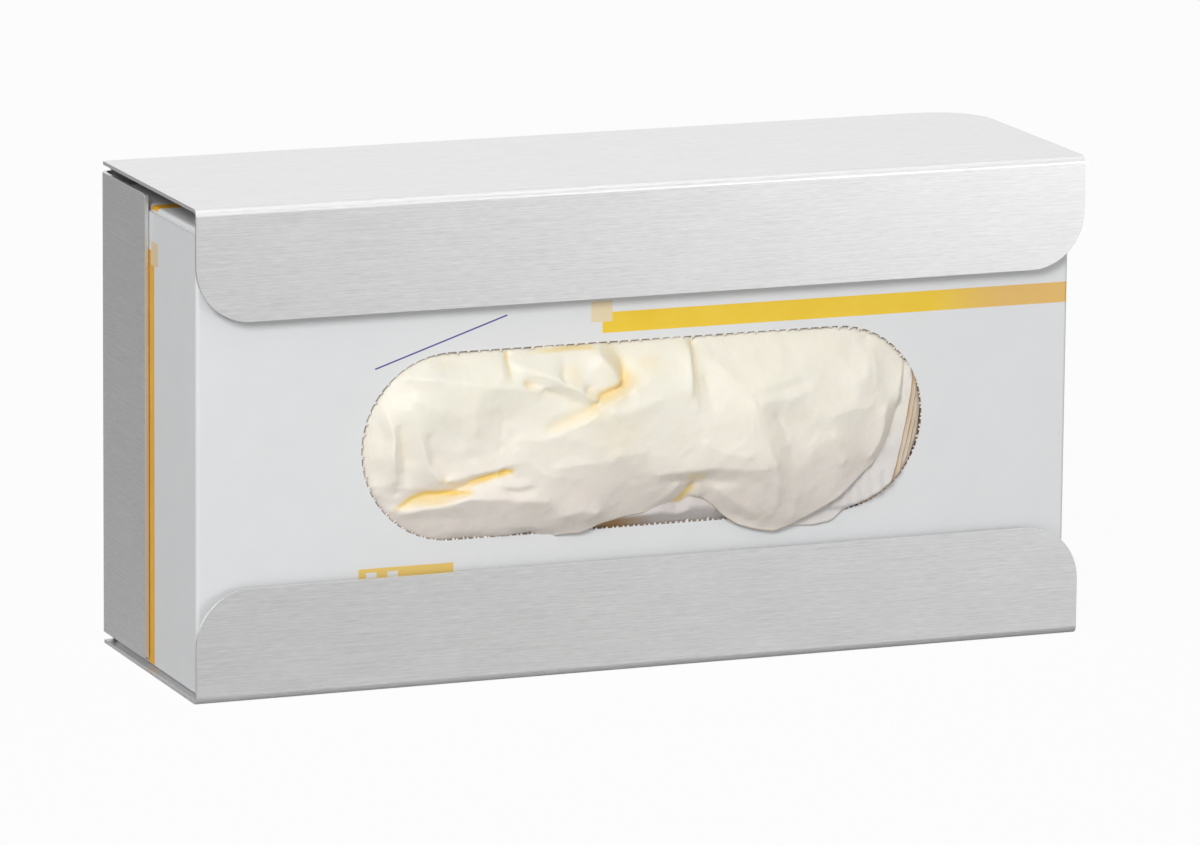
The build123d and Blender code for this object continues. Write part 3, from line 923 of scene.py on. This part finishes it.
filmHem = [(-90, -31, -3), (-26.1, -26.6, -1.4), (-24.5, -25.8, 0.4), (-21.9, -25.5, 0.8),
            (-18.8, -25.4, 1.2), (-16.1, -24.7, 1.4), (-13.9, -23.4, 1.6), (-9.6, -22.4, 1.8),
            (-5.8, -21.5, 2), (-2, -21.2, 2.2), (3.8, -19.8, 1.8), (6.2, -19.3, 1.3), (8.5, -19.4, 1.2),
            (11.7, -17.8, 2.6), (14.5, -17.6, 3.6), (17.9, -20.1, 3), (22.1, -23.9, 2.2), (26.2, -26.4, 1.6),
            (31.4, -28.1, 1.4), (36.5, -29, 1.4), (40.8, -27.5, 1.8), (46.3, -25, 2.2), (51.9, -22, 2.6),
            (55, -20, 2.8), (60, -15.4, 2.8), (64.5, -11.9, 2.6), (68.5, -5, 2.2), (70.3, 0.8, 1.8),
            (72.1, 4.3, 1.6), (73.1, 10.1, 0.8), (73.8, 13.5, -0.2), (76.5, 31, -3)]

# painted yellow shade where light is lost between layers and in folds: points with the depth of the painted
# shade, and its reach in mm
paintedShadeLines = [
    ([(-70.3, -15.8, 0.3), (-68, -14.3, 0.8), (-65.8, -12.6, 0.9), (-61.8, -11.6, 1), (-55.2, -11.7, 1),
      (-51.2, -11.3, 0.8), (-49.6, -11, 0)], 0.75),
    ([(-69.1, -15.2, 0), (-64.5, -13.5, 0.55), (-58.5, -13.4, 0.5), (-53.4, -12, 0)], 1.2),
    ([(-53.8, -9.8, 0), (-50.7, -9.1, 0.7), (-47.5, -8.2, 1), (-43.3, -6.9, 1), (-40, -6.2, 1),
      (-38.9, -5.8, 0)], 0.8),
    ([(-33.6, 23.9, 0), (-28.7, 23.8, 0.6), (-22, 23.9, 0.85), (-16, 23.9, 0.7), (-14, 23.9, 0)], 0.55),
    ([(-11, 22.8, 0.3), (-9.1, 19.8, 0.36), (-6.7, 15.6, 0.36), (-6.5, 12.6, 0)], 2.6),
    ([(-7.1, 14.1, 0.1), (-9.8, 12.7, 0.4), (-13.5, 11.6, 0.45), (-18, 12, 0.25), (-21.3, 12.7, 0)], 1.8),
    ([(-13.4, 9.8, 0), (-17.2, 8.8, 0.3), (-22.7, 6.6, 0.22), (-28.2, 4.6, 0.15), (-32, 3.9, 0)], 1.6),
    ([(-36.4, 17.7, 0), (-35, 16.3, 0.35), (-34, 15, 0.2), (-31.2, 14.4, 0)], 1.2),
    ([(-39, 23.7, 0.8), (-39.3, 21.6, 0.5), (-39.3, 18.4, 0.25), (-39, 16, 0)], 0.45),
    ([(12.5, 23.5, 0.45), (12.5, 20.9, 0.2), (12.1, 16.1, 0.35), (11.6, 10.6, 0.25), (11.5, 7.3, 0)], 0.6),
    ([(10.9, -12.6, 0.1), (10.8, -14.6, 0.8), (8.7, -17.7, 0.85), (6.2, -19.5, 0.3)], 1.0),
    ([(7.5, -10.5, 0), (9.4, -11, 0.4), (12.9, -11.1, 0.35), (15.1, -10.6, 0)], 1.5),
    ([(-60.2, -7.2, 0), (-58, -8.3, 0.3), (-54.2, -9.2, 0.35), (-50.9, -9.9, 0)], 0.9),
    ([(-22.4, 21.2, 0), (-21.4, 18.7, 0.22), (-21.9, 15.9, 0.18), (-20.8, 13.7, 0)], 2.0),
    ([(-2.2, 21.5, 0), (-1.5, 19.7, 0.2), (1.9, 19.3, 0.12), (4.8, 20.1, 0)], 2.4),
    ([(69.2, 1.4, 0), (68.9, -3.8, 0.16), (66.7, -9.6, 0.14), (65, -13.2, 0)], 0.8),
    ([(-19.8, 2, 0), (-14.3, 2.7, 0.12), (-8.8, 1.3, 0.12), (-5.4, -2.1, 0)], 5.0),
]


def softStep(v):
    v = np.clip(v, 0, 1)
    return v * v * (3 - 2 * v)


def alongLine(x, z, points):
    # distance to a polyline, and the value of its last column at the nearest point
    best = np.full(x.shape, 1e9)
    value = np.zeros(x.shape)
    for a, b in zip(points, points[1:]):
        ux, uz = b[0] - a[0], b[1] - a[1]
        t = np.clip(((x - a[0]) * ux + (z - a[1]) * uz) / (ux * ux + uz * uz), 0, 1)
        d = np.hypot(x - a[0] - t * ux, z - a[1] - t * uz)
        near = d < best
        best = np.where(near, d, best)
        value = np.where(near, a[-1] + t * (b[-1] - a[-1]), value)
    return best, value


def latticeNoise(x, z, scale, seed):
    # smooth noise from -1 to 1 on a seeded lattice
    table = np.random.RandomState(seed).uniform(-1, 1, (96, 96))
    u, v = x / scale + 40.37, z / scale + 40.71
    i, j = np.floor(u).astype(int), np.floor(v).astype(int)
    fu, fv = softStep(u - i), softStep(v - j)
    pick = lambda a, b: table[a % 96, b % 96]
    return (pick(i, j) * (1 - fu) * (1 - fv) + pick(i + 1, j) * fu * (1 - fv)
            + pick(i, j + 1) * (1 - fu) * fv + pick(i + 1, j + 1) * fu * fv)


def blur(field, sigma, step):
    # gaussian blur of a grid, sigma in mm
    reach = max(1, int(3 * sigma / step))
    kernel = np.exp(-0.5 * (np.arange(-reach, reach + 1) * step / sigma) ** 2)
    kernel /= kernel.sum()
    for axis in (0, 1):
        padded = np.pad(field, [(reach, reach) if a == axis else (0, 0) for a in (0, 1)], mode="edge")
        field = sum(w * np.take(padded, np.arange(field.shape[axis]) + n, axis) for n, w in enumerate(kernel))
    return field


def rimDistance(x, z):
    beyond = np.maximum(np.abs(x) - (window["halfLength"] - window["halfHeight"]), 0)
    return window["halfHeight"] - np.hypot(beyond, z)


def drawFilm(lines, hem, hangs, step):
    # a film drawn tight over lines: each free point takes the mean of its neighbours, coarse grid to fine
    height = None
    for level in (16, 8, 4, 2, 1):
        dx = step * level
        xs, zs = np.arange(-84, 84.01, dx), np.arange(-33, 33.01, dx)
        x, z = np.meshgrid(xs, zs, indexing="ij")
        fixed = np.zeros(x.shape, bool)
        target = np.zeros(x.shape)
        inside = rimDistance(x, z)
        free = hangs(x, z)
        atRim = (np.abs(inside) < 0.75 * dx) & ~free
        outside = (inside < -3.5) & ~free
        for mask, value in ((atRim, gloveFilm["rim"]), (outside, gloveFilm["beyond"])):
            fixed |= mask
            target = np.where(mask, value, target)
        for line in lines + [hem]:
            d, value = alongLine(x, z, line)
            mask = (d < 0.62 * dx) & ((inside > 0.6) | free)
            fixed |= mask
            target = np.where(mask, value, target)
        if height is None:
            height = np.full(x.shape, 2.0)
        else:
            old = height
            height = np.stack([np.interp(zs, oldZ, row) for row in old])
            height = np.stack([np.interp(xs, oldX, column) for column in height.T], 1)
        for _ in range(150):
            around = np.pad(height, 1, mode="edge")
            mean = (around[2:, 1:-1] + around[:-2, 1:-1] + around[1:-1, 2:] + around[1:-1, :-2]) / 4
            height = np.where(fixed, target, mean)
        oldX, oldZ = xs, zs
    return xs, zs, height


def overRim(x, z):
    # where the film hangs over the lower rim
    lower = (z < -14) & (x > 18) & (x < 62)
    hemGap = (z < -16) & (x > -31) & (x <= 18)
    return lower | hemGap


def readGrid(xs, zs, field, x, z):
    # bilinear reading of a grid
    u = np.clip((x - xs[0]) / (xs[1] - xs[0]), 0, len(xs) - 1.001)
    v = np.clip((z - zs[0]) / (zs[1] - zs[0]), 0, len(zs) - 1.001)
    i, j = u.astype(int), v.astype(int)
    fu, fv = u - i, v - j
    return (field[i, j] * (1 - fu) * (1 - fv) + field[i + 1, j] * fu * (1 - fv)
            + field[i, j + 1] * (1 - fu) * fv + field[i + 1, j + 1] * fu * fv)


# small crumples: width and height in mm, and the turn in radians
crumples = [(14, 0.42, 0.5), (7.5, 0.17, 1.3), (4.2, 0.06, 2.2), (2.4, 0.03, 0.2)]


def wrinkles(x, z):
    # creases where a turned noise passes zero, from large to small
    total = 0.03 * latticeNoise(x, z, 1.6, 13)
    for k, (scale, height, turn) in enumerate(crumples):
        u, v = x * math.cos(turn) + z * math.sin(turn), z * math.cos(turn) - x * math.sin(turn)
        shift = latticeNoise(x, z, 9.0, 80 + k)
        ridge = latticeNoise(u + 2 * shift, 0.7 * v, scale, 90 + k)
        total += height * (1 - 2.2 * np.sqrt(ridge ** 2 + 0.003))
    return total


def filmMesh(name, columns, lowEdge, highEdge, height, material, tints, t=None):
    # a film between a lower and an upper edge, with its tints as attributes
    low, high = lowEdge(columns), highEdge(columns)
    if t is None:
        t = np.linspace(0, 1, int((high - low).max() / gloveFilm["step"]) + 1)
    rows = len(t)
    x = np.repeat(columns[:, None], rows, 1)
    z = low[:, None] * (1 - t) + high[:, None] * t
    cx, cz = window["middle"]
    verts = np.stack([x + cx, window["board"] - height(x, z), z + cz], -1).reshape(-1, 3) * mm
    a = (np.arange(len(columns) - 1)[:, None] * rows + np.arange(rows - 1)[None]).ravel()
    faces = np.stack([a, a + rows, a + rows + 1, a + 1], 1)
    obj = newObject(name, verts.tolist(), faces.tolist(), material)
    for key, tint in tints.items():
        layer = obj.data.attributes.new(key, "FLOAT", "POINT")
        layer.data.foreach_set("value", np.clip(tint(x, z), 0, 1).ravel().astype(np.float32))
    solid = obj.modifiers.new("film", "SOLIDIFY")
    solid.thickness = gloveFilm["thickness"] * mm
    solid.offset = -1
    settle(obj)
    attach(obj, "root")
    print(name, len(obj.data.polygons), "faces")
    return obj


def edgeCurve(points):
    # an edge of the film as a function of x, with soft corners
    px, pz = np.array([p[:2] for p in points], float).T

    def read(x):
        return sum(np.interp(x + s, px, pz) for s in (-0.9, -0.3, 0.3, 0.9)) / 4
    return read


def level(value):
    # a straight edge along the film
    return lambda x: np.full(x.shape, value)


def even(value):
    # the same tint all over
    return lambda x, z: 0 * x + value


def latexPaint(name, ivory, shade, amber):
    paint = Paint(name)
    # painted yellow shade, read from an attribute: deep folds and gaps between layers coloured yellow as if
    # in shade
    paintedAmberShadeMask = paint.node("ShaderNodeAttribute", {"attribute_name": "amber"})[2]
    # painted grey shade, read from an attribute: the film turned greyer where less light falls on it
    paintedGreyShadeMask = paint.node("ShaderNodeAttribute", {"attribute_name": "shade"})[2]
    cloud = paint.noise(paint.place((110, 110, 110)), 1.0, 4.0, 0.6)
    speck = paint.noise(paint.place((1500, 1500, 1500)), 1.0, 2.0, 0.5)
    crinkle = paint.noise(paint.place((420, 420, 420)), 1.0, 4.0, 0.6, 0.4)
    colour = paint.mix(paintedGreyShadeMask, ivory, shade)
    paler = paint.ramp(cloud, [(0.42, (0, 0, 0)), (0.72, (0.25, 0.25, 0.25))])
    colour = paint.mix(paler, colour, srgb(254, 250, 236))
    colour = paint.mix(paintedAmberShadeMask, colour, amber)
    paint.set(Base_Color=colour, Roughness=0.42 + crinkle * 0.12, Specular_IOR_Level=0.4,
              Subsurface_Weight=0.25, Subsurface_Radius=(1.0, 0.7, 0.35), Subsurface_Scale=0.0025,
              Normal=paint.bump(crinkle + speck * 0.1, 0.00016, 0.7))
    return paint.material


gridX, gridZ, drawn = drawFilm(foldLines, filmHem, overRim, gloveFilm["grid"])
drawn = blur(drawn, gloveFilm["softness"], gloveFilm["grid"])
around = blur(drawn, 2.4, gloveFilm["grid"])
gridXX, gridZZ = np.meshgrid(gridX, gridZ, indexing="ij")
# painted yellow shade in the valleys: where the film lies below its blurred surroundings, away from the rim,
# then along the listed lines
paintedValleyShade = 0.4 * np.clip((around - drawn - 0.3) / 1.6, 0, 1) * softStep((rimDistance(gridXX, gridZZ) - 0.5) / 2)
for points, reach in paintedShadeLines:
    d, depth = alongLine(gridXX, gridZZ, points)
    paintedValleyShade = 1 - (1 - paintedValleyShade) * (1 - depth * np.exp(-(d / reach) ** 2))


def filmHeight(x, z):
    wobbleX = x + 0.35 * latticeNoise(x, z, 6.0, 3) + 0.12 * latticeNoise(x, z, 2.4, 4)
    wobbleZ = z + 0.35 * latticeNoise(x, z, 6.0, 5) + 0.12 * latticeNoise(x, z, 2.4, 6)
    calm = 0.25 + 0.75 * softStep((rimDistance(x, z) + 1) / 7)
    return readGrid(gridX, gridZ, drawn, wobbleX, wobbleZ) + wrinkles(x, z) * calm


# the film's own ivory, then the colours of its painted grey shade and its painted yellow shade
ivory, shade, amber = srgb(254, 246, 220), srgb(248, 233, 218), srgb(246, 208, 104)
shownColumns = np.concatenate([np.arange(-83, -30, 0.36), np.arange(-30, 75.8, 0.52)])
shownRows = np.concatenate([np.arange(-31, -16, 0.6), np.arange(-16, -2, 0.32), np.linspace(-2, 30, 60)])
shownGloves = filmMesh(
    "shownGloves", shownColumns, edgeCurve(filmHem), level(30.0),
    filmHeight, latexPaint("latexFilm", ivory, shade, amber),
    # painted yellow shade in the valleys and along the shade lines
    {"amber": lambda x, z: readGrid(gridX, gridZ, paintedValleyShade, x, z),
     # painted grey shade: greyer towards the bottom, where the film faces down from the light above, and
     # towards the right, away from the light at the left
     "shade": lambda x, z: 0.12 + softStep((14 - z) / 36) * 0.7 + 0.15 * softStep((x - 30) / 40)},
    t=shownRows / 61 + 31 / 61)
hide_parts("top_glove", "left_glove")

# the sheer film at the right end, over the rim, and the films behind it
endSizes = {
    "films": 5,
    "apart": (0, 1.5, 2.8, 4.2, 12.0),   # of each film's edge from the first one's, mm
    "deeper": 0.36,
}

endEdge = [(34, -22), (38, -25.5), (41.1, -27.8), (48.2, -28.2), (53.3, -27.4), (55.9, -25.0),
           (59, -23.6), (62.5, -22.5), (67.0, -19.8), (70.1, -17.3), (71.1, -12.0), (72.4, -7.2),
           (73.7, -2.5), (74.4, 2.3), (75.4, 7.6), (76.0, 10.8), (76.6, 16)]


def endHeight(front):
    # films at the right end, each behind the one before
    def height(x, z):
        hemX, hemZ = np.array([p[:2] for p in filmHem[18:-1]]).T
        hem = np.interp(z, hemZ, hemX)
        main = filmHeight(np.minimum(x, hem - 0.4), z)
        out = np.interp(x, [44, 56, 66, 74, 79, 84], [1.0, 1.6, 2.2, 2.3, 1.4, -0.2])
        inside = softStep((rimDistance(x, z) + 1.2) / 3.0)
        hang = softStep((x - 37) / 4) * softStep((58.5 - x) / 3) * softStep((-z - 17) / 4)
        ripple = 0.35 * latticeNoise(x, 0.5 * z, 3.4, 61 + front) + 0.16 * np.sin(x * 1.9 + 0.25 * z)
        own = -1.0 + inside * (out + 1.0) + ripple * inside
        own += (0.6 - np.minimum(own, 0.6)) * hang
        return np.minimum(own, main - 0.5) - (0.12 + (endSizes["deeper"] - 0.12) * inside) * front
    return height


def endGapShade(front):
    # painted brown shade in the gap behind the edge of the film in front, fading away from it, over a painted
    # yellow shade on the whole film
    def tint(x, z):
        edgeX, edgeZ = np.array(endEdge[9:]).T
        edge = np.interp(z, edgeZ, edgeX) + endSizes["apart"][front - 1]
        beyond = x - edge
        patches = 0.75 + 0.5 * latticeNoise(x, z, 5.0, 88 + front)
        return 0.3 + 0.7 * np.exp(-(np.maximum(beyond, 0) / 0.9) ** 1.2) * patches
    return tint


# the films' own cream, then the colours of the painted grey shade and the painted brown shade between films
cream, endPaintedGreyShade, gapShadeBrown = srgb(252, 243, 224), srgb(228, 220, 212), srgb(186, 134, 62)
endPaint = latexPaint("endFilm", cream, endPaintedGreyShade, gapShadeBrown)
sheerPaint = latexPaint("sheerFilm", cream, endPaintedGreyShade, gapShadeBrown)
for front in range(endSizes["films"]):
    shift = endSizes["apart"][front]
    edge = [(x + shift, z - 0.15 * front) for x, z in endEdge]
    columns = np.arange(61.5 if front else 34, min(76.4 + shift, 84), 0.3 if front else 0.5)
    # the films behind: painted brown shade at the gaps and an even painted grey shade
    tints = {"amber": endGapShade(front), "shade": even(0.25)}
    if front == 0:
        # the sheer film in front: a trace of painted yellow shade, and painted grey shade growing towards the
        # bottom
        tints = {"amber": even(0.03), "shade": lambda x, z: 0.25 + 0.65 * softStep((2 - z) / 16)}
    film = filmMesh("endFilm" + str(front + 1), columns, edgeCurve(edge), level(22.0), endHeight(front),
                    endPaint if front else sheerPaint, tints)
    if front == 0:
        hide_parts("right_glove")


def underHeight(x, z):
    # the film under the notch
    inside = softStep((rimDistance(x, z) + 0.6) / 6)
    ripple = 0.5 * latticeNoise(x, z, 6.0, 71) + 0.2 * latticeNoise(x, z, 2.5, 72)
    own = -1.2 + inside * 4.6 + ripple * inside
    hem = np.interp(x, *np.array(filmHem)[:, :2].T)
    return np.minimum(own, filmHeight(x, np.maximum(z, hem + 1.5)) - 0.8)


# the film under the notch, coloured greyer than the front film as painted shade for lying behind its hem
underPaint = latexPaint("underFilmPaint", srgb(236, 226, 214), srgb(222, 210, 202), srgb(176, 130, 70))
underFilm = filmMesh("underFilm", np.arange(-34, 44, gloveFilm["step"]), level(-29.0), level(-12.0),
                     underHeight, underPaint,
                     # painted brown shade in the gap at the lower left, under the hem
                     {"amber": lambda x, z: 0.9 * np.exp(-((x + 9) / 9) ** 2) * softStep((-z - 21) / 2),
                      # painted grey shade all over
                      "shade": even(0.8)})
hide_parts("lower_glove")


def makePacked():
    # the gloves packed behind: one cushion of layers, coloured dark yellow-brown all over as painted shade
    low, high = [[c / mm for c in v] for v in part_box("glove_stack")]
    xs = np.linspace(low[0] + 0.4, high[0] - 0.4, 160)
    zs = np.linspace(low[2] + 0.4, high[2] - 0.4, 90)
    x, z = np.meshgrid(xs, zs, indexing="ij")
    edge = np.minimum.reduce([x - low[0], high[0] - x, z - low[2], high[2] - z])
    layers = 0.9 * latticeNoise(x, z * 0.4, 5.0, 51) + 0.5 * latticeNoise(x, z, 2.4, 52)
    front = window["board"] + 7.2 + layers + 4.0 * (1 - softStep(edge / 6))
    rows = len(zs)
    verts = np.stack([x, front, z], -1).reshape(-1, 3)
    rear = np.full(x.shape, high[1] - 0.4) - 3.0 * (1 - softStep(edge / 5))
    back = np.stack([x, rear, z], -1).reshape(-1, 3)
    count = len(verts)
    a = (np.arange(len(xs) - 1)[:, None] * rows + np.arange(rows - 1)[None]).ravel()
    front = np.stack([a, a + rows, a + rows + 1, a + 1], 1)
    faces = front.tolist() + (front[:, ::-1] + count).tolist()
    last = len(xs) - 1
    ring = list(range(rows)) + [i * rows + rows - 1 for i in range(1, last + 1)]
    ring += [last * rows + j for j in range(rows - 2, -1, -1)] + [i * rows for i in range(last - 1, 0, -1)]
    for p, q in zip(ring, ring[1:] + ring[:1]):
        faces.append((p, q, q + count, p + count))
    obj = newObject("packedGloves", (np.concatenate([verts, back]) * mm).tolist(), faces)
    # painted yellow shade and painted grey shade over the whole cushion
    for key, value in (("amber", 0.75), ("shade", 0.5)):
        layer = obj.data.attributes.new(key, "FLOAT", "POINT")
        layer.data.foreach_set("value", np.full(2 * count, value, np.float32))
    weld(obj)
    # colours darker and browner than the front film's: painted shade
    paint = latexPaint("packedFilm", srgb(238, 224, 190), srgb(214, 190, 150), srgb(176, 130, 66))
    obj.data.materials.append(paint)
    return obj


packed = makePacked()
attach(packed, "root")
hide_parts("glove_stack")
print("gloves folded")
